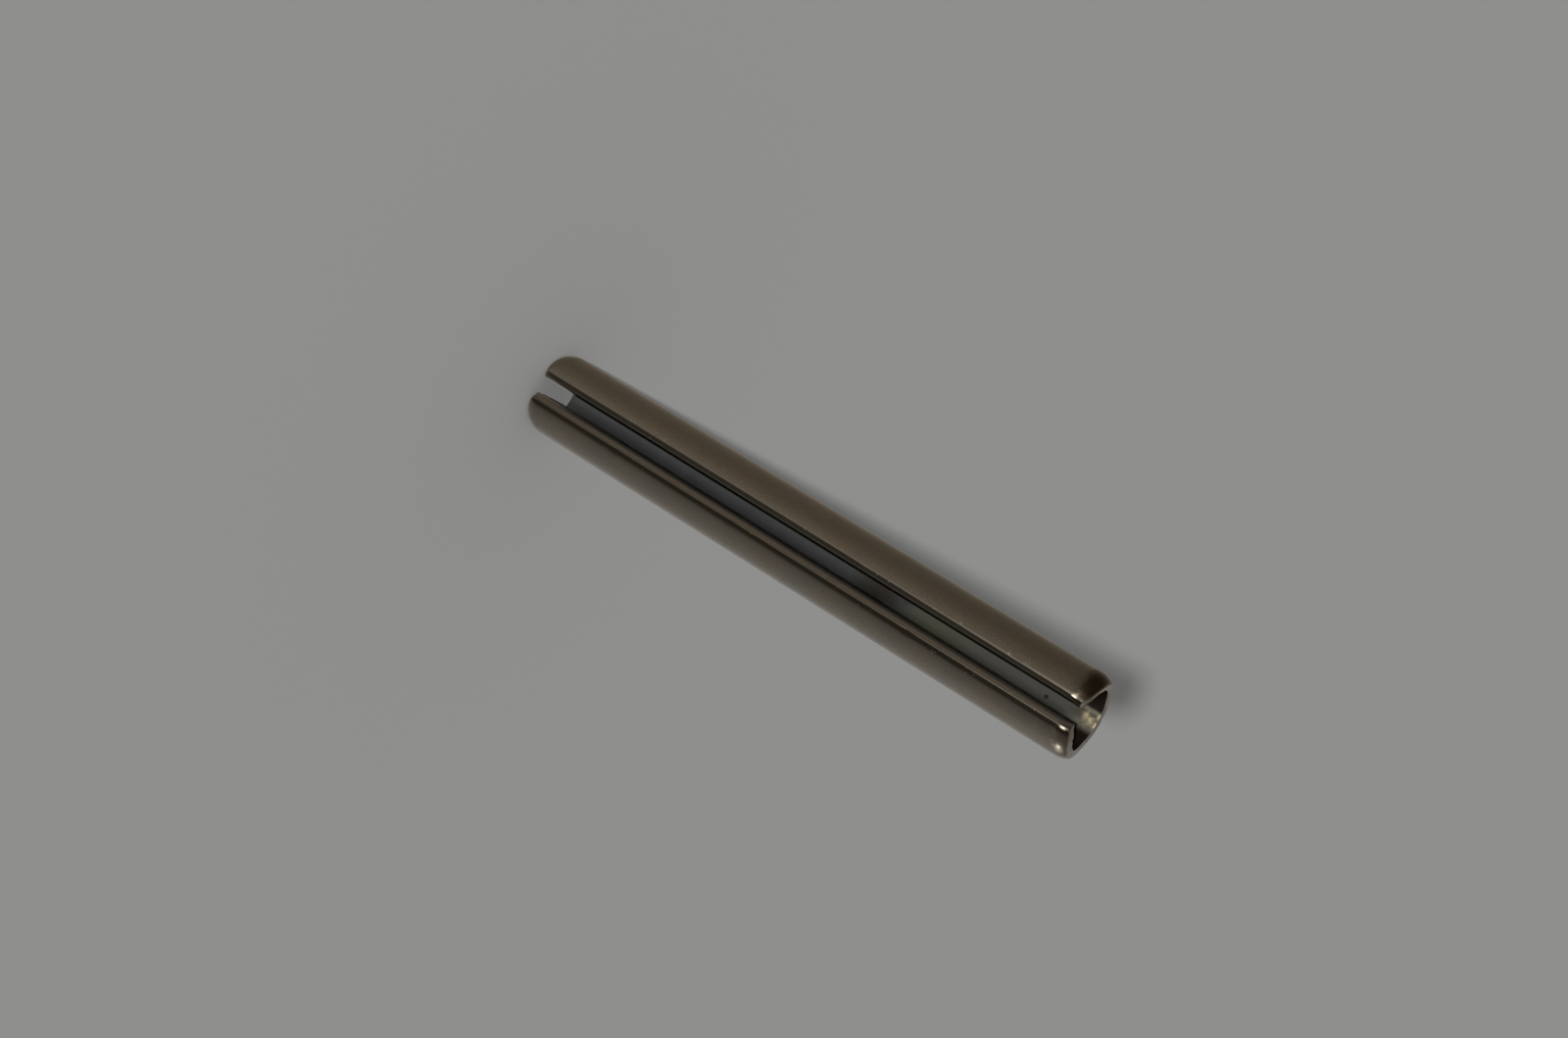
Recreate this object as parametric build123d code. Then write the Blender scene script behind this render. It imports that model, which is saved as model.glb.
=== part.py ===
"""Slotted spring pin, 6 mm by 50 mm, standing on one end.

One strip of spring steel is rolled into a tube that stays open along a slot. The strip's long
edges are rounded, and each end of the tube is drawn in to a domed nose that leads the pin into
its hole. The pin's axis is Z, with +Z up, and the slot opens towards -Y. The origin is on the
axis, half way up.
"""
import os
from math import asin, tan

from build123d import *

# Driving sizes, in millimetres
free_diameter = 6.5      # outside the relaxed pin, before a 6 mm hole squeezes it
length = 50.0            # from end face to end face
strip_thickness = 1.0    # wall of the tube
slot_gap = 1.1           # between the lips at the bore, where they come nearest
lip_round = 0.6          # outer corner of each long edge of the strip
lip_break = 0.12         # bore corner of each long edge
nose_length = 1.0        # along the axis, from the full diameter to the end face
nose_drop = 0.27         # how far a nose comes in at its end face, on the radius
end_break = 0.08         # worn corners of the end faces, at the nose and at the bore

outer_radius = free_diameter / 2
bore_radius = outer_radius - strip_thickness
half_length = length / 2
half_slot = asin(slot_gap / 2 / bore_radius)
outer_corner = min(lip_round, 0.8 * strip_thickness)


def rolled_strip():
    """Section across the pin: a ring with a radial slot at the front and rounded lips."""
    with BuildSketch(Plane.XY) as section:
        Circle(outer_radius)
        Circle(bore_radius, mode=Mode.SUBTRACT)
        slot_front = -free_diameter
        slot_side = free_diameter * tan(half_slot)
        with BuildLine():
            Polyline((0, 0), (-slot_side, slot_front), (slot_side, slot_front), close=True)
        make_face(mode=Mode.SUBTRACT)
        fillet(section.vertices().sort_by_distance((0, 0))[:2], lip_break)
        fillet(section.vertices().sort_by_distance((0, 0))[-2:], outer_corner)
    return section.sketch


def wall_along_axis():
    """Section along the wall: bore, end faces with broken corners, domed noses and outside."""
    shoulder = half_length - nose_length
    rim_radius = outer_radius - nose_drop
    with BuildSketch(Plane.XZ) as section:
        with BuildLine():
            outside = Line((outer_radius, -shoulder), (outer_radius, shoulder))
            nose = TangentArc(outside @ 1, (rim_radius, half_length), tangent=outside % 1)
            mirror(nose, about=Plane.XZ)
            Polyline((rim_radius, half_length), (bore_radius, half_length),
                     (bore_radius, -half_length), (rim_radius, -half_length))
        make_face()
        end_corners = section.vertices().group_by(Axis.Y)
        fillet(end_corners[0] + end_corners[-1], end_break)
    return section.sketch


def roll_pin():
    """The rolled strip drawn along the axis, held within the turned outline of its two noses."""
    tube = extrude(rolled_strip(), half_length, both=True)
    turned_outline = revolve(wall_along_axis(), axis=Axis.Z)
    return tube & turned_outline


os.makedirs("parts", exist_ok=True)
export_step(roll_pin(), "parts/roll_pin.step")
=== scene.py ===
"""Looks of the slotted spring pin: its worn steel surface, a pale floor, soft light and the camera.

The pin stands on one end with its axis on Z. Shapes are worked out in millimetres and put into
the meshes in metres. Angles round the pin are measured from -Y, the middle of the slot, towards +X.
"""
from math import asin, cos, pi, radians, sin

import bpy
import numpy as np
from mathutils import Matrix, Vector


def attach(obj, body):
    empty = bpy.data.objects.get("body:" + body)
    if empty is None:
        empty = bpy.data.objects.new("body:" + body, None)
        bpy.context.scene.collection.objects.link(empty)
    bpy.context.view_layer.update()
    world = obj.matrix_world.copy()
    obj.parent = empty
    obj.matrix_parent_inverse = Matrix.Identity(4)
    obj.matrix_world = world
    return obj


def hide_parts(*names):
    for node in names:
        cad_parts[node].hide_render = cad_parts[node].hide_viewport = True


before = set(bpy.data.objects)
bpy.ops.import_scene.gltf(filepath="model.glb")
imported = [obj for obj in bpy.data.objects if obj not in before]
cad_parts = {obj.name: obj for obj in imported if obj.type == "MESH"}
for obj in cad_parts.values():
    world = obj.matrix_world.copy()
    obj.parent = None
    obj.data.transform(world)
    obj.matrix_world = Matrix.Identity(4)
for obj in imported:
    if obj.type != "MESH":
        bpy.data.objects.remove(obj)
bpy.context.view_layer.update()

MM = 0.001

# The pin, in millimetres
OUTER_RADIUS = 3.25
BORE_RADIUS = 2.25
HALF_LENGTH = 25.0
SLOT_GAP = 1.1                         # between the lips at the bore
HALF_SLOT = asin(SLOT_GAP / 2 / BORE_RADIUS)   # angle from the slot's middle to a lip's flat face
NOSE_LENGTH = 1.0
NOSE_DROP = 0.27
RIGHT_ROUND = 0.6                      # outer rounding of the +X lip
LEFT_ROUND = 0.43                      # and of the -X lip, which is a little sharper,
LEFT_ROUND_TOP = 0.33                  # the more so towards the top
LIP_BREAK = 0.12                       # bore corner of each lip
LIP_ANGLE = 0.36                       # where the lips' roundings are burnished,
LIP_WIDTH = 0.13                       # and how far to either side

# This pin's twist, its skewed and blunt ends, and its wear, in millimetres and radians
TWIST = radians(1.9)                   # the slot's turn at each end, from none half way
TOP_SKEW = 0.24                        # how far the +X lip stands above the other at the top
TOP_BLUNT = 0.28                       # how far the lips' corners fall away at the top
TOP_BACK = 0.34                        # how far the back stops short at the top
FOOT_SKEW = 0.12                       # how far the -X lip reaches below the other at the foot
FOOT_BLUNT = 0.20                      # how far the lips' corners fall away at the foot
FOOT_BACK = 0.20                       # how far the back stops short at the foot
SKEW_START = 18.0                      # height from which the strip is drawn back at its ends
EDGE_WEAR = 0.085                      # rounding of the end faces' corners
RAGGED_WEAR = 0.068                    # further wear of the upper bore edge beside the +X lip
LEFT_NOSE_DROP = 0.36                  # how much further the upper nose comes in on -X
LEFT_NOSE_LENGTH = 1.6                 # and over which length
WAVE_HEIGHT = 0.0012                   # of each of the body's two faint waves
LIP_SINK = 0.055                       # how much nearer the axis the lips lie at the ends
LEFT_LIP_SINK = 0.104                  # and the -X lip than the other, all along
NICKS = (                              # height, angle, depth and size of each
    (11.2, 0.40, 0.05, 0.22), (23.6, 0.47, 0.03, 0.25), (19.1, -0.42, 0.025, 0.2),
    (6.3, -0.40, 0.03, 0.25), (-4.8, 0.43, 0.03, 0.3), (15.7, 0.44, 0.02, 0.2),
    (-16.0, 0.41, 0.035, 0.3), (2.2, 2.4, 0.02, 0.4), (-11.5, -1.9, 0.02, 0.5))

# How finely the pin's surface is divided: half a lip's flat, its outer rounding and bore corner,
# half the outer arc, and half the bore's arc, which makes both sides of the wall alike in count
FLAT_STEPS = 3
ROUND_STEPS = 16
BREAK_STEPS = 8
OUTER_STEPS = 74
BORE_STEPS = OUTER_STEPS + ROUND_STEPS - BREAK_STEPS

# and along the pin: a nose, the rounding of an end face's corners, and the straight body
NOSE_STEPS = 16
CORNER_STEPS = 6
BODY_STEPS = 150

# The floor's and the background's grey
FLOOR_GREY = (0.275, 0.275, 0.270)

# The camera: place in millimetres, and its right and ahead directions relative to the pin
SENSOR_WIDTH = 36.0
FOCAL_LENGTH = 58.19
CAMERA_PLACE = (-9.900, -164.38, 77.555)
CAMERA_RIGHT = (-0.5001, 0.4021, 0.7670)
CAMERA_AHEAD = (0.0495, 0.8975, -0.4382)


# Meshes
def steps(start, stop, count):
    """Count + 1 evenly spaced values."""
    return np.linspace(start, stop, count + 1)


def ease(value, start, stop):
    """0 below start, 1 above stop, and a smooth S between them."""
    share = np.clip((value - start) / (stop - start), 0.0, 1.0)
    return share * share * (3 - 2 * share)


def bell(value, centre, width):
    """1 at the centre, falling as the normal curve does to 0.37 at the width to either side."""
    return np.exp(-((value - centre) / width) ** 2)


def radial(radius, angle):
    """Points at a radius and an angle from -Y towards +X."""
    return np.stack([radius * np.sin(angle), -radius * np.cos(angle)], axis=-1)


def half_section(outer, inner, lip_round):
    """Half of the strip's section, from the middle of the +X lip to the back, and its normals.

    The outer side is half the lip's flat, the lip's large rounding and the outer arc; the inner
    side is the other half of the flat, the small rounding of the bore's corner and the bore's arc.
    A rounding's centre lies one rounding radius inside both the arc and the flat.
    """
    flat_turn = HALF_SLOT - pi / 2
    round_turn = HALF_SLOT + asin(lip_round / (outer - lip_round))
    break_turn = HALF_SLOT + asin(LIP_BREAK / (inner + LIP_BREAK))
    flat_top = ((outer - lip_round) ** 2 - lip_round ** 2) ** 0.5
    flat_foot = ((inner + LIP_BREAK) ** 2 - LIP_BREAK ** 2) ** 0.5
    middle = (flat_top + flat_foot) / 2

    def flat(to):
        places = radial(steps(middle, to, FLAT_STEPS)[:-1], np.full(FLAT_STEPS, HALF_SLOT))
        return places, radial(1.0, np.full(FLAT_STEPS, flat_turn))

    def rounding(centre, radius, start, stop, count):
        normal = radial(1.0, steps(start, stop, count)[:-1])
        return centre + radius * normal, normal

    def arc(radius, start, facing, count):
        turn = steps(start, pi, count)
        return radial(radius, turn), facing * radial(1.0, turn)

    outer_parts = [flat(flat_top),
                   rounding(radial(outer - lip_round, np.array(round_turn)), lip_round,
                            flat_turn, round_turn, ROUND_STEPS),
                   arc(outer, round_turn, 1.0, OUTER_STEPS)]
    inner_parts = [flat(flat_foot),
                   rounding(radial(inner + LIP_BREAK, np.array(break_turn)), LIP_BREAK,
                            flat_turn, break_turn - pi, BREAK_STEPS),
                   arc(inner, break_turn, -1.0, BORE_STEPS)]
    sides = []
    for parts in (outer_parts, inner_parts):
        sides.append([np.concatenate([part[k] for part in parts]) for k in (0, 1)])
    return sides


def whole_loop(outer, inner, left_round):
    """The closed section: +X lip, back, -X lip on the outside, then home along the bore."""
    right = half_section(outer, inner, RIGHT_ROUND)
    left = half_section(outer, inner, left_round)
    mirror = np.array([-1.0, 1.0])
    loop = []
    for k in (0, 1):
        outside = np.concatenate([right[0][k], left[0][k][-2::-1] * mirror])
        inside = np.concatenate([right[1][k], left[1][k][-2::-1] * mirror])
        loop.append(np.concatenate([outside, inside[-2:0:-1]]))
    return loop


def nose_radius(height):
    """Outer radius at a height: straight, then an arc that comes in by the nose's drop."""
    bend = (NOSE_DROP ** 2 + NOSE_LENGTH ** 2) / (2 * NOSE_DROP)
    into_nose = np.clip(np.abs(height) - (HALF_LENGTH - NOSE_LENGTH), 0.0, NOSE_LENGTH)
    return OUTER_RADIUS - bend + np.sqrt(bend ** 2 - into_nose ** 2)


def stations():
    """Heights, edge insets and closing shares of the loops, from the foot to the top.

    Towards an end the heights follow the nose, then a quarter circle rounds the face's corners,
    and then the loop closes on the middle of the strip's wall to fill the face.
    """
    shoulder = HALF_LENGTH - NOSE_LENGTH
    rim = HALF_LENGTH - EDGE_WEAR
    corner = steps(0, pi / 2, CORNER_STEPS)[1:]
    closing = np.array([0.12, 0.3, 0.6, 1.0])
    top = np.concatenate([steps(shoulder, rim, NOSE_STEPS)[1:], rim + EDGE_WEAR * np.sin(corner),
                          np.full(closing.size, HALF_LENGTH)])
    inset = np.concatenate([np.zeros(NOSE_STEPS), 1 - np.cos(corner), np.ones(closing.size)])
    share = np.concatenate([np.zeros(NOSE_STEPS + CORNER_STEPS), closing])
    body = steps(-shoulder, shoulder, BODY_STEPS)
    nothing = np.zeros(body.size)
    return (np.concatenate([-top[::-1], body, top]), np.concatenate([inset[::-1], nothing, inset]),
            np.concatenate([share[::-1], nothing, share]))


def end_shortfall(angle, lips, back, skew, turn_share):
    """How far an end's edge stops short of the pin's full length, round the strip.

    The edge reaches furthest a little way round from each lip. It falls away in a bell at the
    lips, whose corners are blunt, in a smooth S towards the back, and evenly by the skew.
    """
    away = np.abs(angle)
    corner = lips * bell(away, HALF_SLOT, 0.26)
    return corner + back * ease(away, radians(60), radians(140)) + skew * turn_share


def worn_depth(turn, angle, level, inset, outside, rounded):
    """How far the worn surface lies inside the plain one, along its normals.

    Outside is 1 on the outer half of a loop, and rounded is the same but fades in over the lips.
    The end faces' corners come in by the edge wear, unevenly round the outside as the sum of two
    sines. The upper bore edge beside the +X lip is ragged: two more sines within a bell. The upper
    nose comes in further on -X, as the square of the height and a bell round the pin. Between the
    ends are two faint waves, and each nick is a bell by distance along the surface.
    """
    corner = inset[:, None]
    uneven = 0.30 * np.sin(8 * turn + 1.0) + 0.18 * np.sin(19 * turn + 2.0)
    depth = EDGE_WEAR * corner * (1 + rounded * uneven)
    ragged = 1.0 + 0.8 * np.sin(19 * angle) + 0.5 * np.sin(33 * angle + 1.0)
    ragged = ragged * bell(angle, 0.7, 0.5) * (level > 0) * (1 - outside)
    depth = depth + RAGGED_WEAR * corner * ragged
    up_nose = (level - HALF_LENGTH) / LEFT_NOSE_LENGTH + 1
    more_nose = LEFT_NOSE_DROP * bell(angle, -1.0, 0.62)
    depth = depth + rounded * more_nose * np.clip(up_nose, 0, None) ** 2
    waves = 2 + np.sin(level / 3.1 + 2 * turn) + np.sin(level / 1.7 - 3 * turn + 2)
    depth = depth + WAVE_HEIGHT * waves * (1 - ease(np.abs(level), 24.0, 24.9))
    for spot_height, spot_angle, deep, size in NICKS:
        round_pin = bell((angle - spot_angle) * OUTER_RADIUS, 0.0, size)
        depth = depth + deep * bell(level, spot_height, size) * round_pin * outside
    return depth


def twisted(place, level):
    """The loops with their lips sunk a little, then turned by the twist, which grows with height.

    Points sink towards the axis by the square of how far forward they lie, so that the twist
    doesn't carry the lips out past the plain form.
    """
    x, y = place[..., 0], place[..., 1]
    forward = np.clip(-y / OUTER_RADIUS, 0, None)
    sink = LIP_SINK * np.abs(level / HALF_LENGTH) + LEFT_LIP_SINK * (x < 0)
    y = y + sink * forward ** 2
    twist = TWIST * level / HALF_LENGTH
    return x * np.cos(twist) - y * np.sin(twist), x * np.sin(twist) + y * np.cos(twist)


def joined_loops(rows, count):
    """Quads between neighbouring loops; the first and last loop share their outer half's points."""
    number = np.arange(rows * count).reshape(rows, count)
    k = np.arange(count)
    inner_half = k[count // 2 + 1:]
    for row in (0, -1):
        number[row, inner_half] = number[row, count - inner_half]
    near, far = number[:-1], number[1:]
    faces = np.stack([near, np.roll(near, -1, axis=1), np.roll(far, -1, axis=1), far], axis=-1)
    return faces.reshape(-1, 4)


def surface_masks(angle, inset, outside):
    """Shares, from 0 to 1, of the places that have a finish of their own.

    They are the lips' roundings as a bell round the pin, the end faces from the edge inset, and
    by the count of points from the lips: the bore, the lips' flats and a band of painted shade on
    the -X lip's rounding.
    """
    count = angle.shape[1]
    last = count // 2
    k = np.arange(count)
    face = np.clip((inset[:, None] - 0.7) / 0.25, 0, 1)
    lip = bell(np.abs(angle), LIP_ANGLE, LIP_WIDTH) * outside
    bore = ((k > last + 4) & (k < count - 4)) * (1 - face)
    off_flat = ease(np.minimum(k, count - k), 6, 13) * ease(np.abs(k - last), 6, 13)
    left_lip_shade_band = bell(last - k, 9.5, 4.0) * (k <= last)
    masks = {"lip": lip, "end_face": face, "bore": bore, "flat": (1 - off_flat) * (1 - face),
             "under_left_lip": left_lip_shade_band * (1 - face)}
    return {name: np.broadcast_to(mask, angle.shape).ravel() for name, mask in masks.items()}


def pin_surface():
    """Vertices, faces and named masks of the whole pin.

    Every station's loop is the strip's section with its outer arc at the nose's radius, moved in
    along its normals by the wear, and in the end faces closed on the middle of the strip's wall.
    The loops are twisted, and near each end they are drawn back by the end's shortfall.
    """
    height, inset, share = stations()
    left_round = LEFT_ROUND + (LEFT_ROUND_TOP - LEFT_ROUND) * ease(height, 0.0, HALF_LENGTH)
    rows = [whole_loop(outer, BORE_RADIUS, corner)
            for outer, corner in zip(nose_radius(height), left_round)]
    place = np.stack([row[0] for row in rows])
    normal = np.stack([row[1] for row in rows])
    count = place.shape[1]
    last = count // 2
    k = np.arange(count)
    level = height[:, None]
    turn = np.arctan2(place[..., 0], -place[..., 1]) % (2 * pi)
    angle = np.where(turn > pi, turn - 2 * pi, turn)
    outside = (k <= last)[None, :].astype(float)
    rounded = outside * ease(np.minimum(k, last - k), FLAT_STEPS, FLAT_STEPS + ROUND_STEPS)

    depth = worn_depth(turn, angle, level, inset, outside, rounded)
    place = place - depth[..., None] * normal
    middle = (place + place[:, (count - k) % count]) / 2
    place = place + (middle - place) * share[:, None, None]
    x, y = twisted(place, level)

    turn_share = turn / (2 * pi)
    top = end_shortfall(angle, TOP_BLUNT, TOP_BACK, TOP_SKEW, turn_share)
    foot = end_shortfall(angle, FOOT_BLUNT, FOOT_BACK, FOOT_SKEW, 1 - turn_share)
    top, foot = top - top[:, :last].min(), foot - foot[:, :last].min()
    z = level - top * ease(level, SKEW_START, HALF_LENGTH)
    z = z + foot * ease(-level, SKEW_START, HALF_LENGTH)
    points = np.stack([x, y, z], axis=-1).reshape(-1, 3)
    return tidy(points, joined_loops(len(height), count), surface_masks(angle, inset, outside))


def tidy(points, faces, masks):
    """Drops unused vertices and turns the faces so that the enclosed volume is positive."""
    used = np.unique(faces)
    renumber = np.zeros(len(points), dtype=np.int64)
    renumber[used] = np.arange(used.size)
    points, faces = points[used], renumber[faces]
    a, b, c, d = (points[faces[:, i]] for i in range(4))
    volume = np.einsum("ij,ij->", a, np.cross(b, c)) + np.einsum("ij,ij->", a, np.cross(c, d))
    if volume < 0:
        faces = faces[:, ::-1]
    return points, faces, {name: mask[used] for name, mask in masks.items()}


def mesh_object(name, points, faces, material, masks=None):
    """A smooth object at the origin, from points in millimetres."""
    mesh = bpy.data.meshes.new(name)
    mesh.from_pydata((points * MM).tolist(), [], faces.tolist())
    mesh.update()
    mesh.polygons.foreach_set("use_smooth", np.ones(len(mesh.polygons), dtype=bool))
    for title, values in (masks or {}).items():
        layer = mesh.attributes.new(title, "FLOAT", "POINT")
        layer.data.foreach_set("value", values.astype(np.float32))
    mesh.materials.append(material)
    made = bpy.data.objects.new(name, mesh)
    bpy.context.scene.collection.objects.link(made)
    return made


# Materials
class Wire:
    """A socket's value in a sum: + - * / and a few named steps add the nodes for it."""

    def __init__(self, board, socket):
        self.board = board
        self.socket = socket

    def math(self, operation, *others):
        values = {i: value for i, value in enumerate((self,) + others)}
        return self.board.add("Math", {"operation": operation}, values)

    def __add__(self, other):
        return self.math("ADD", other)

    def __sub__(self, other):
        return self.math("SUBTRACT", other)

    def __mul__(self, other):
        return self.math("MULTIPLY", other)

    def __truediv__(self, other):
        return self.math("DIVIDE", other)

    def __rsub__(self, other):
        return self.board.add("Math", {"operation": "SUBTRACT"}, {0: other, 1: self})

    __radd__ = __add__
    __rmul__ = __mul__

    def clip(self):
        """The value held between 0 and 1."""
        return self.board.add("Clamp", {}, {0: self})

    def band(self, start, stop):
        """0 below start, 1 above stop, with a soft change between them."""
        settings = {"interpolation_type": "SMOOTHSTEP"}
        return self.board.add("MapRange", settings, {0: self, 1: start, 2: stop})

    def near(self, point, radius):
        """1 at a point, falling to 0 at a radius from it; self is a place in millimetres."""
        gap = self.board.add("VectorMath", {"operation": "DISTANCE"}, {0: self, 1: point},
                             output=1)
        return 1 - gap.band(0.0, radius)

    def bell(self, centre, width):
        """1 at the centre, falling to 0 at the width to either side."""
        return 1 - (self - centre).math("ABSOLUTE").band(0.0, width)


class Board:
    """A node tree; add() makes any node, with its settings first and then its inputs."""

    def __init__(self, owner):
        owner.use_nodes = True
        self.tree = owner.node_tree
        self.tree.nodes.clear()

    def add(self, kind, settings=None, inputs=None, output=0):
        node = self.tree.nodes.new("ShaderNode" + kind)
        for name, value in (settings or {}).items():
            if name == "stops":
                self.set_stops(node.color_ramp, value)
            else:
                setattr(node, name, value)
        for name, value in (inputs or {}).items():
            if isinstance(value, Wire):
                self.tree.links.new(value.socket, node.inputs[name])
            else:
                node.inputs[name].default_value = value
        return Wire(self, node.outputs[output]) if node.outputs else node

    @staticmethod
    def set_stops(ramp, stops):
        """Ramp stops as place: colour."""
        elements = ramp.elements
        while len(elements) < len(stops):
            elements.new(0.5)
        for element, (place, colour) in zip(elements, stops.items()):
            element.position = place
            element.color = (*colour, 1.0)

    def part(self, wire, output):
        """Another output of the same node."""
        return Wire(self, wire.socket.node.outputs[output])

    def mix(self, share, first, second):
        """From the first colour to the second by a share."""
        first, second = (v if isinstance(v, Wire) else (*v, 1.0) for v in (first, second))
        return self.add("Mix", {"data_type": "RGBA"}, {0: share, 6: first, 7: second}, output=2)

    def noise(self, place, scale, detail=2.0, rough=0.5, warp=0.0):
        """Cloudy noise round 0.5; place is a vector wire in millimetres."""
        values = {"Vector": place, "Scale": scale, "Detail": detail, "Roughness": rough,
                  "Distortion": warp}
        return self.add("TexNoise", {"noise_dimensions": "3D"}, values)

    def mapped(self, place, scale, shift=(0.0, 0.0, 0.0)):
        """The place stretched along its axes and moved."""
        return self.add("Mapping", {}, {"Vector": place, "Scale": scale, "Location": shift})

    def mask(self, name):
        """A number stored on the mesh."""
        return self.add("Attribute", {"attribute_name": name}, output=2)


class SteelFields:
    """What the steel's colour, gloss and relief share: places, masks and cloudy patterns."""

    def __init__(self, board):
        metres = board.add("TexCoord", {}, {}, output="Object")
        place = board.add("VectorMath", {"operation": "SCALE"}, {0: metres, "Scale": 1 / MM})
        self.place = place
        self.across = board.add("SeparateXYZ", {}, {0: place})
        self.depthwise = board.part(self.across, 1)
        self.height = board.part(self.across, 2)
        self.on_right = self.across.band(-0.3, 0.3)
        self.nose = self.height.band(HALF_LENGTH - 1.6, HALF_LENGTH - 0.9)
        self.lip = board.mask("lip")
        self.face = board.mask("end_face")
        self.bore = board.mask("bore")
        self.flat = board.mask("flat") * self.on_right
        self.under_left_lip = board.mask("under_left_lip")

        # lines and streaks from drawing the strip, fine grain, and large and small clouds
        self.drawn = board.noise(board.mapped(place, (1.0, 1.0, 0.035)), 16.0, 3.0, 0.6)
        self.streak = board.noise(board.mapped(place, (1.0, 1.0, 0.12)), 3.2, 2.0, 0.5)
        self.grain = board.noise(place, 14.0, 3.0, 0.65)
        self.cloud = board.noise(place, 0.35, 3.0, 0.55, 0.6)
        self.fine_cloud = board.noise(board.mapped(place, (1.0, 1.0, 0.5)), 1.7, 3.0, 0.6, 0.4)
        self.bore_cloud = board.noise(board.mapped(place, (1, 1, 0.4)), 1.1, 3.0, 0.6)
        self.blotch = board.noise(board.mapped(place, (1, 1, 1), (1.0, 4.0, 2.0)), 1.3, 3.0, 0.55)

        # short scratches across the pin where one noise passes its middle, and scattered pits
        crossing = board.noise(board.mapped(place, (0.6, 0.6, 5.0), (3.0, 7.0, 1.0)), 2.2, 1.0, 0.4)
        scratched = board.noise(board.mapped(place, (1.0, 1.0, 1.0), (9.0, 2.0, 5.0)), 1.1, 1.0)
        self.scratch = crossing.bell(0.5, 0.010) * scratched.band(0.58, 0.68)
        cell = board.add("TexVoronoi", {"feature": "F1"}, {"Vector": place, "Scale": 3.4})
        pitted = board.noise(board.mapped(place, (1, 1, 1), (4.0, 1.0, 8.0)), 0.9, 1.0)
        self.pit = (1 - cell.band(0.05, 0.12)) * pitted.band(0.56, 0.64)

        # a dark brown and tan patch on the upper nose beside the -X lip; reach grows towards its
        # edge
        self.reach = self.height - self.across * 0.35 + (self.blotch - 0.5) * 0.9
        beside = (self.across * -1.0).band(0.92, 1.20) * (1 - self.depthwise.band(0.0, 2.2))
        pale = place.near((-2.05, -2.35, 24.00), 0.66)
        self.dark_nose_patch = self.reach.band(24.35, 24.75) * beside * (1 - pale * 0.9) * (1 - self.face)

        # the bore's mouth, and painted shade in the bore: on the +X side, and on both sides of the
        # mouth
        self.mouth = (self.height + (self.bore_cloud - 0.5) * 1.2).band(22.0, 23.6)
        self.off_middle = self.across - self.height * 0.0074 + (self.bore_cloud - 0.5) * 0.15
        right_side_shade = self.off_middle.band(-0.10, 0.70) * 0.54
        mouth_right_shade = self.mouth * self.off_middle.band(0.40, 0.95) * 0.46
        mouth_left_shade = self.mouth * (self.off_middle * -1.0).band(0.45, 0.95)
        self.shade = (right_side_shade + mouth_right_shade + mouth_left_shade).clip()

        # three scuffs on the upper +X nose
        scuff = place.near((2.30, -2.15, 23.86), 0.22) + place.near((2.52, -1.86, 23.99), 0.26)
        scuff = (scuff + place.near((2.44, -1.99, 24.45), 0.30)).clip()
        self.scuff = scuff * self.fine_cloud.band(0.3, 0.5)


def outside_colour(board, steel):
    """The satin outside: clouds of warm and cool steel, with the marks laid over them in turn."""
    warm_steel = (0.300, 0.262, 0.205)
    cool_steel = (0.280, 0.262, 0.228)
    brown_cloud = (0.20, 0.165, 0.12)
    bright_grain = (0.38, 0.34, 0.28)
    bright_streak = (0.36, 0.335, 0.29)
    dark_line = (0.17, 0.15, 0.125)
    burnished = (0.46, 0.425, 0.37)
    right_lip_brown = (0.060, 0.052, 0.042)
    bright_scratch = (0.40, 0.38, 0.34)
    nose_patch_brown = (0.165, 0.132, 0.088)
    nose_patch_tan = (0.270, 0.212, 0.145)

    colour = board.mix(steel.cloud.band(0.34, 0.66) * 0.8, warm_steel, cool_steel)
    colour = board.mix(steel.fine_cloud.band(0.45, 0.75) * 0.14, colour, brown_cloud)
    colour = board.mix(steel.grain.band(0.42, 0.62) * 0.22, colour, bright_grain)
    colour = board.mix(steel.streak.band(0.5, 0.72) * 0.15, colour, bright_streak)
    colour = board.mix(steel.drawn.band(0.52, 0.75) * 0.15, colour, dark_line)
    right_below = steel.on_right * (1 - steel.height.band(12.0, 24.0))
    colour = board.mix(steel.lip * (0.45 - right_below * 0.45), colour, burnished)
    colour = board.mix(steel.lip * steel.on_right * 0.44, colour, right_lip_brown)
    colour = board.mix(steel.scratch * 0.25, colour, bright_scratch)
    tan_share = steel.blotch.band(0.40, 0.60) * (1 - steel.reach.band(24.55, 24.85))
    nose_patch_colour = board.mix(tan_share, nose_patch_brown, nose_patch_tan)
    return board.mix(steel.dark_nose_patch * 0.92, colour, nose_patch_colour)


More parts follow.
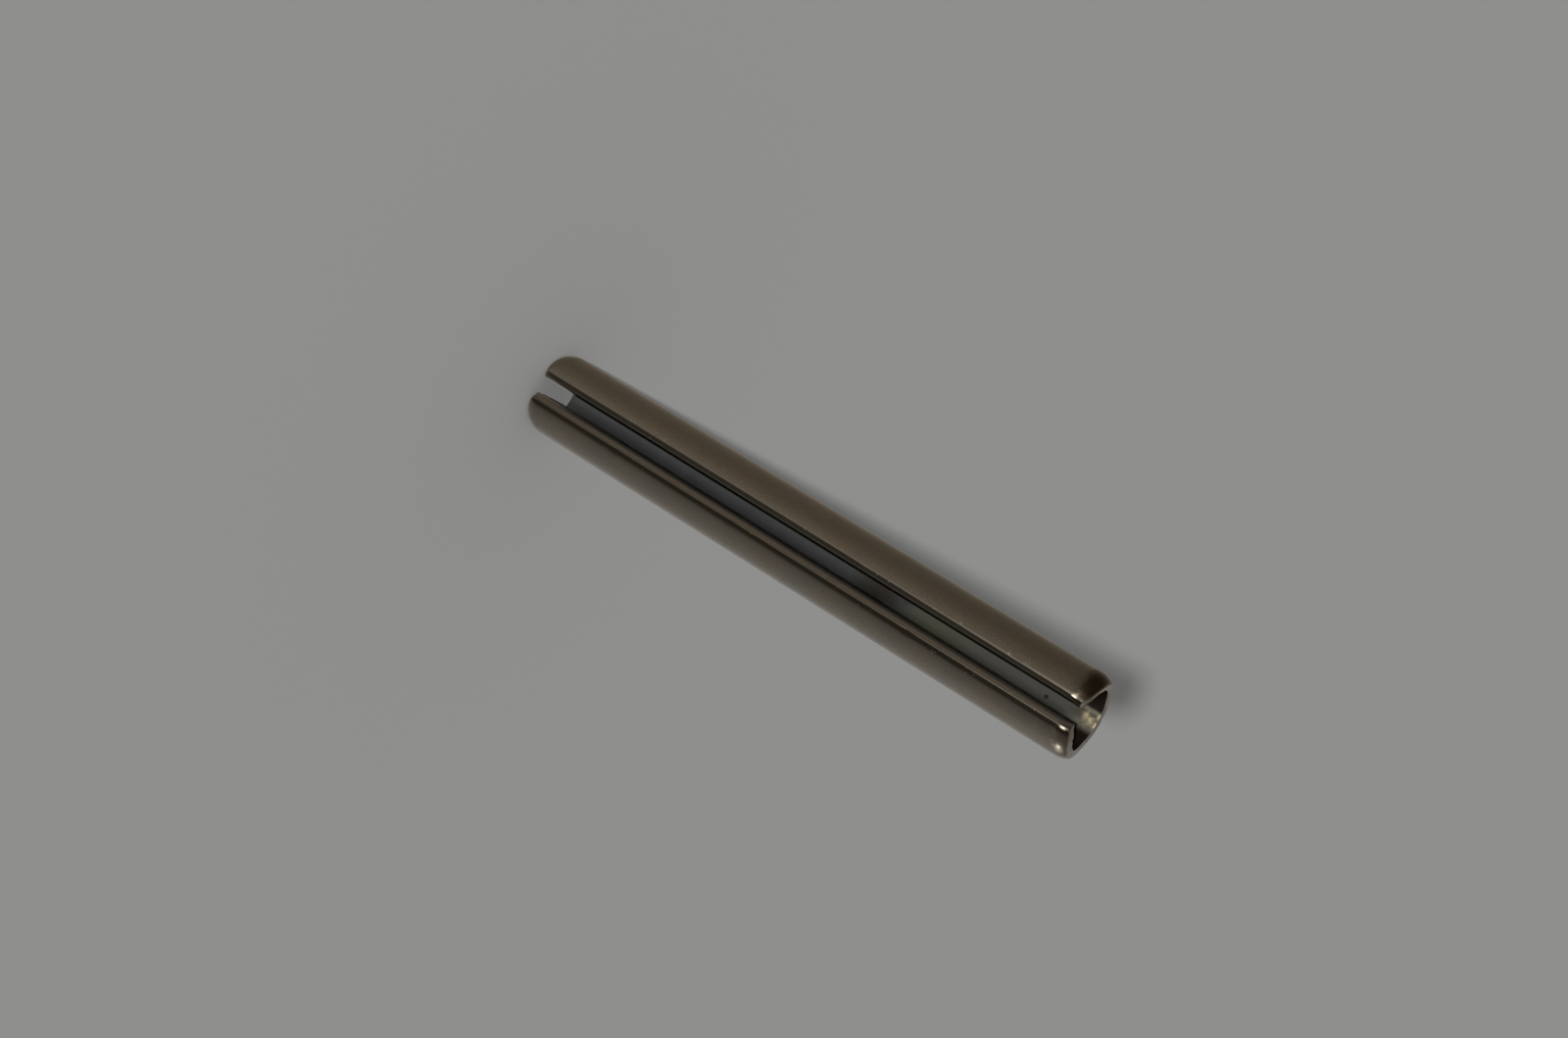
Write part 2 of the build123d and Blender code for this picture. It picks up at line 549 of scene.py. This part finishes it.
def bore_colour(board, steel):
    """The bore: blue-grey scale with brown staining part way up, an olive, flecked mouth, painted
    shade on the +X side and the mouth's sides, and painted light down the mouth's middle.
    """
    dark_scale = (0.113, 0.117, 0.118)
    pale_scale = (0.180, 0.185, 0.185)
    brown_stain = (0.075, 0.060, 0.042)
    low_olive = (0.205, 0.202, 0.146)
    high_olive = (0.200, 0.193, 0.162)
    mouth_olive = (0.115, 0.110, 0.072)
    shade_black = (0.0050, 0.0038, 0.0028)
    fleck_and_lit_gold = (1.0, 0.86, 0.56)
    speck_brown = (0.030, 0.018, 0.012)
    gold_flakes = (((-0.03, 2.25, 23.66), 0.42), ((0.11, 2.25, 24.07), 0.40),
                   ((-0.32, 2.23, 24.53), 0.26), ((0.27, 2.23, 24.66), 0.30))
    speck, speck_size = (0.31, 2.23, 20.5), 0.32

    colour = board.mix(steel.bore_cloud, dark_scale, pale_scale)
    wavy = steel.height + (steel.bore_cloud - 0.5) * 3.0
    colour = board.mix(wavy.bell(5.6, 3.0) * 0.85, colour, brown_stain)
    olive = board.mix(steel.height.band(11.0, 16.0), low_olive, high_olive)
    colour = board.mix(wavy.band(7.0, 9.5) * 0.8, colour, olive)
    colour = board.mix(steel.mouth * 0.6, colour, mouth_olive)
    # painted shade: the bore darkens towards +X and on both sides of the mouth
    colour = board.mix(steel.shade, colour, shade_black)
    # golden flecks at four spots, and painted light: a faint golden band down the mouth's middle,
    # where light falls into the bore
    flake = board.noise(steel.place, 4.0, 3.0, 0.6).band(0.40, 0.60)
    middle = (steel.off_middle + 0.10).bell(0.0, 0.8) * steel.height.band(22.8, 23.8)
    flecks_and_painted_light = middle * (0.06 + flake * 0.16)
    for spot, size in gold_flakes:
        flecks_and_painted_light = flecks_and_painted_light + steel.place.near(spot, size) * (0.50 + flake * 0.50)
    colour = board.mix(flecks_and_painted_light.clip(), colour, fleck_and_lit_gold)
    dark_speck = steel.place.near(speck, speck_size).band(0.2, 0.9)
    return board.mix(dark_speck * 0.85, colour, speck_brown)


def steel_colour(board, steel):
    """The outside and the bore, then the lips' flats, the end faces, the scuffs and the pits.

    The end faces are worn in clouds, with a dark line along their corners on +X.
    """
    flat_brown = (0.210, 0.176, 0.138)
    painted_shade_brown = (0.055, 0.048, 0.036)
    worn_pale = (0.28, 0.252, 0.235)
    worn_dark = (0.16, 0.14, 0.122)
    seam_black = (0.025, 0.019, 0.014)
    scuff_bright = (0.80, 0.76, 0.68)
    pit_black = (0.035, 0.028, 0.022)

    colour = board.mix(steel.bore, outside_colour(board, steel), bore_colour(board, steel))
    colour = board.mix(steel.flat * 0.85, colour, flat_brown)
    # painted shade: a dark band along the -X lip's rounding
    colour = board.mix(steel.under_left_lip * 0.65, colour, painted_shade_brown)
    worn = board.mix(steel.fine_cloud.band(0.4, 0.6), worn_pale, worn_dark)
    colour = board.mix(steel.face * 0.8, colour, worn)
    seam = steel.face.bell(0.45, 0.45) * steel.fine_cloud.band(0.36, 0.50) * steel.on_right
    colour = board.mix(seam * 0.9, colour, seam_black)
    colour = board.mix(steel.scuff * 0.6, colour, scuff_bright)
    return board.mix(steel.pit * 0.75, colour, pit_black)


def steel_roughness(steel):
    """Satin all over, glossier on the lips, the mouth and the scuffs, duller in bore and pits."""
    rough = 0.29 + (steel.fine_cloud - 0.5) * 0.10 + (steel.drawn - 0.5) * 0.10
    rough = rough + (steel.grain - 0.5) * 0.12 - steel.lip * 0.16
    rough = rough + steel.bore * 0.20 - steel.mouth * steel.bore * 0.06 + steel.dark_nose_patch * 0.10
    rough = rough + steel.face * 0.06 + steel.pit * 0.3 + steel.flat * 0.10
    return (rough - steel.scuff * 0.08).clip()


def steel_relief(board, steel):
    """Height of the fine marks in millimetres: lines and grain, scratches, pits and nose dents."""
    relief = steel.drawn * 0.0018 + steel.grain * 0.0012 + steel.streak * 0.002
    relief = relief * (1 - steel.lip * 0.6) - steel.scratch * 0.002 - steel.pit * 0.01
    relief = relief + steel.bore * steel.fine_cloud * 0.004
    dented = board.noise(steel.place, 3.0, 2.0, 0.5, 0.3)
    return relief + dented * steel.nose * (1 - steel.lip) * (0.003 + steel.face * 0.012)


def spring_steel():
    """Drawn strip steel: satin outside, burnished lips and noses, dull and stained in the bore,
    with painted shade and light there.
    """
    material = bpy.data.materials.new("spring_steel")
    board = Board(material)
    steel = SteelFields(board)
    metallic = 1 - steel.bore * (0.12 + steel.shade * steel.mouth * 0.85)
    metallic = metallic - steel.pit * 0.5 - steel.flat * 0.08
    bump = board.add("Bump", {}, {"Strength": 1.0, "Distance": MM,
                                  "Height": steel_relief(board, steel)})
    surface = board.add("BsdfPrincipled", {}, {
        "Base Color": steel_colour(board, steel), "Metallic": metallic.clip(),
        "Roughness": steel_roughness(steel), "Specular IOR Level": 0.0, "Normal": bump})
    board.add("OutputMaterial", {}, {"Surface": surface})
    return material


def floor_paper():
    """Plain pale grey, without gloss."""
    material = bpy.data.materials.new("pale_floor")
    board = Board(material)
    paper = board.add("BsdfPrincipled", {}, {
        "Base Color": (*FLOOR_GREY, 1.0), "Roughness": 0.9, "Specular IOR Level": 0.0})
    board.add("OutputMaterial", {}, {"Surface": paper})
    return material


# Light
STUDIO_CARDS = {
    0.00: (0.42, 0.40, 0.37), 0.06: (0.300, 0.262, 0.215), 0.12: (0.210, 0.185, 0.150),
    0.20: (0.190, 0.165, 0.132), 0.27: (0.190, 0.162, 0.128), 0.33: (0.240, 0.208, 0.168),
    0.365: (0.27, 0.24, 0.20), 0.42: (0.20, 0.18, 0.15), 0.475: (0.070, 0.065, 0.056),
    0.61: (0.072, 0.068, 0.060), 0.665: (0.195, 0.189, 0.179), 0.78: (0.280, 0.275, 0.266),
    0.85: (0.305, 0.302, 0.296), 0.91: (0.40, 0.398, 0.390), 1.00: (0.42, 0.40, 0.37)}
PLAIN_LIGHT = (0.47, 0.47, 0.47)


def studio_reflection(board, turn, z):
    """What the steel mirrors, by compass angle as a share of a turn and by rise as its sine.

    The cards are a ramp over the compass angle, with -Y in its middle and +X at three quarters.
    They are dimmer above the horizon except behind the pin. Two lamp cards stand in front: a bright
    one left of the slot, whose glow runs down to the floor, and a weaker one on the right.
    """
    left_dim = (0.16, 0.14, 0.12)
    right_dim = (0.55, 0.52, 0.48)
    lamp_tint = (1.0, 0.96, 0.88)
    right_lamp_white = (2.8, 2.7, 2.5)

    cards = board.add("ValToRGB", {"stops": STUDIO_CARDS}, {0: turn})
    behind = (turn - 0.5).math("ABSOLUTE").band(0.36, 0.44)
    above = z.band(-0.45, 0.10) * (1 - z.band(0.85, 0.98) * 0.7)
    dim = board.mix(turn.band(0.40, 0.60), left_dim, right_dim)
    dim = board.mix(above * (1 - behind), (1.0, 1.0, 1.0), dim)
    cards = board.add("VectorMath", {"operation": "MULTIPLY"}, {0: cards, 1: dim})
    low = 0.10 + z.band(-0.62, -0.35) * 0.15 + z.band(-0.40, -0.28) * 0.38
    left_lamp = turn.bell(0.460, 0.055) * z.bell(0.14, 0.28) * 7.0
    glow = turn.bell(0.430, 0.036) * low + left_lamp
    shine = board.add("VectorMath", {"operation": "SCALE"}, {0: lamp_tint, "Scale": glow})
    lit = board.add("VectorMath", {"operation": "ADD"}, {0: cards, 1: shine})
    right_lamp = turn.bell(0.800, 0.050) * z.bell(-0.07, 0.20)
    return board.mix(right_lamp, lit, right_lamp_white)


def studio_light():
    """World light: an even pale level, the studio for reflections, and the floor's grey behind."""
    world = bpy.data.worlds.new("studio")
    bpy.context.scene.world = world
    board = Board(world)
    toward = board.add("TexCoord", {}, {}, output="Generated")
    x = board.add("SeparateXYZ", {}, {0: toward}, output=0)
    y, z = board.part(x, 1), board.part(x, 2)
    turn = x.math("ARCTAN2", y * -1.0) / (2 * pi) + 0.5
    rays = board.add("LightPath", {}, {}, output="Is Glossy Ray")
    colour = board.mix(rays, PLAIN_LIGHT, studio_reflection(board, turn, z))
    colour = board.mix(board.part(rays, "Is Camera Ray"), colour, FLOOR_GREY)
    background = board.add("Background", {}, {"Color": colour, "Strength": 1.0})
    board.add("OutputWorld", {}, {"Surface": background})


def add_lamp(name, energy, width, turn, rise):
    """A distant lamp at a compass angle from -Y towards +X and a rise, left out of reflections."""
    lamp = bpy.data.lights.new(name, "SUN")
    lamp.energy = energy
    lamp.angle = radians(width)
    made = bpy.data.objects.new(name, lamp)
    turn, rise = radians(turn), radians(rise)
    toward = Vector((sin(turn) * cos(rise), -cos(turn) * cos(rise), sin(rise)))
    made.rotation_euler = toward.to_track_quat("Z", "Y").to_euler()
    made.visible_glossy = False
    bpy.context.scene.collection.objects.link(made)
    return made


def light_only(lamp, target):
    """The lamp lights the target and nothing else."""
    group = bpy.data.collections.new("lit by " + lamp.name)
    group.objects.link(target)
    lamp.light_linking.receiver_collection = group


# Scene
def add_camera():
    """The photograph's camera, set by its place and its axes relative to the pin."""
    camera = bpy.data.cameras.new("camera")
    camera.sensor_width = SENSOR_WIDTH
    camera.lens = FOCAL_LENGTH
    camera.clip_start = 0.01
    camera.clip_end = 20.0
    made = bpy.data.objects.new("camera", camera)
    right = Vector(CAMERA_RIGHT).normalized()
    ahead = Vector(CAMERA_AHEAD).normalized()
    up = right.cross(ahead).normalized()
    right = ahead.cross(up).normalized()
    turned = Matrix((right, up, -ahead)).transposed().to_4x4()
    turned.translation = Vector(CAMERA_PLACE) * MM
    made.matrix_world = turned
    bpy.context.scene.collection.objects.link(made)
    bpy.context.scene.camera = made


def add_floor():
    """A flat disc of rings under the pin, out to where the camera's lowest view lines end.

    The innermost ring has no width, so its quads are triangles that meet in one point.
    """
    ring = np.array([0.0, 60.0, 200.0, 800.0, 4000.0])
    turn = steps(0, 2 * pi, 64)[:-1]
    points = np.stack([ring[:, None] * np.cos(turn), ring[:, None] * np.sin(turn),
                       np.full((ring.size, turn.size), -HALF_LENGTH)], axis=-1).reshape(-1, 3)
    number = np.arange(len(points)).reshape(ring.size, -1)
    number[0] = 0
    near, far = number[:-1], number[1:]
    quads = np.stack([near, far, np.roll(far, -1, axis=1), np.roll(near, -1, axis=1)], axis=-1)
    quads = quads.reshape(-1, 4)
    triangles = quads[:turn.size, [0, 1, 2]]
    mesh = bpy.data.meshes.new("floor")
    faces = triangles.tolist() + quads[turn.size:].tolist()
    mesh.from_pydata((points * MM).tolist(), [], faces)
    mesh.materials.append(floor_paper())
    made = bpy.data.objects.new("floor", mesh)
    bpy.context.scene.collection.objects.link(made)
    made.visible_glossy = False


add_camera()
add_lamp("key", energy=5.8, width=1.6, turn=-1.5, rise=16.6)
add_floor()
studio_light()
bpy.context.scene.view_settings.view_transform = "Standard"

pin_points, pin_faces, pin_masks = pin_surface()
pin = mesh_object("pin_strip", pin_points, pin_faces, spring_steel(), pin_masks)
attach(pin, "root")
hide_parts("roll_pin")

light_only(add_lamp("slot_fill", energy=2.6, width=9.0, turn=9.0, rise=4.0), pin)
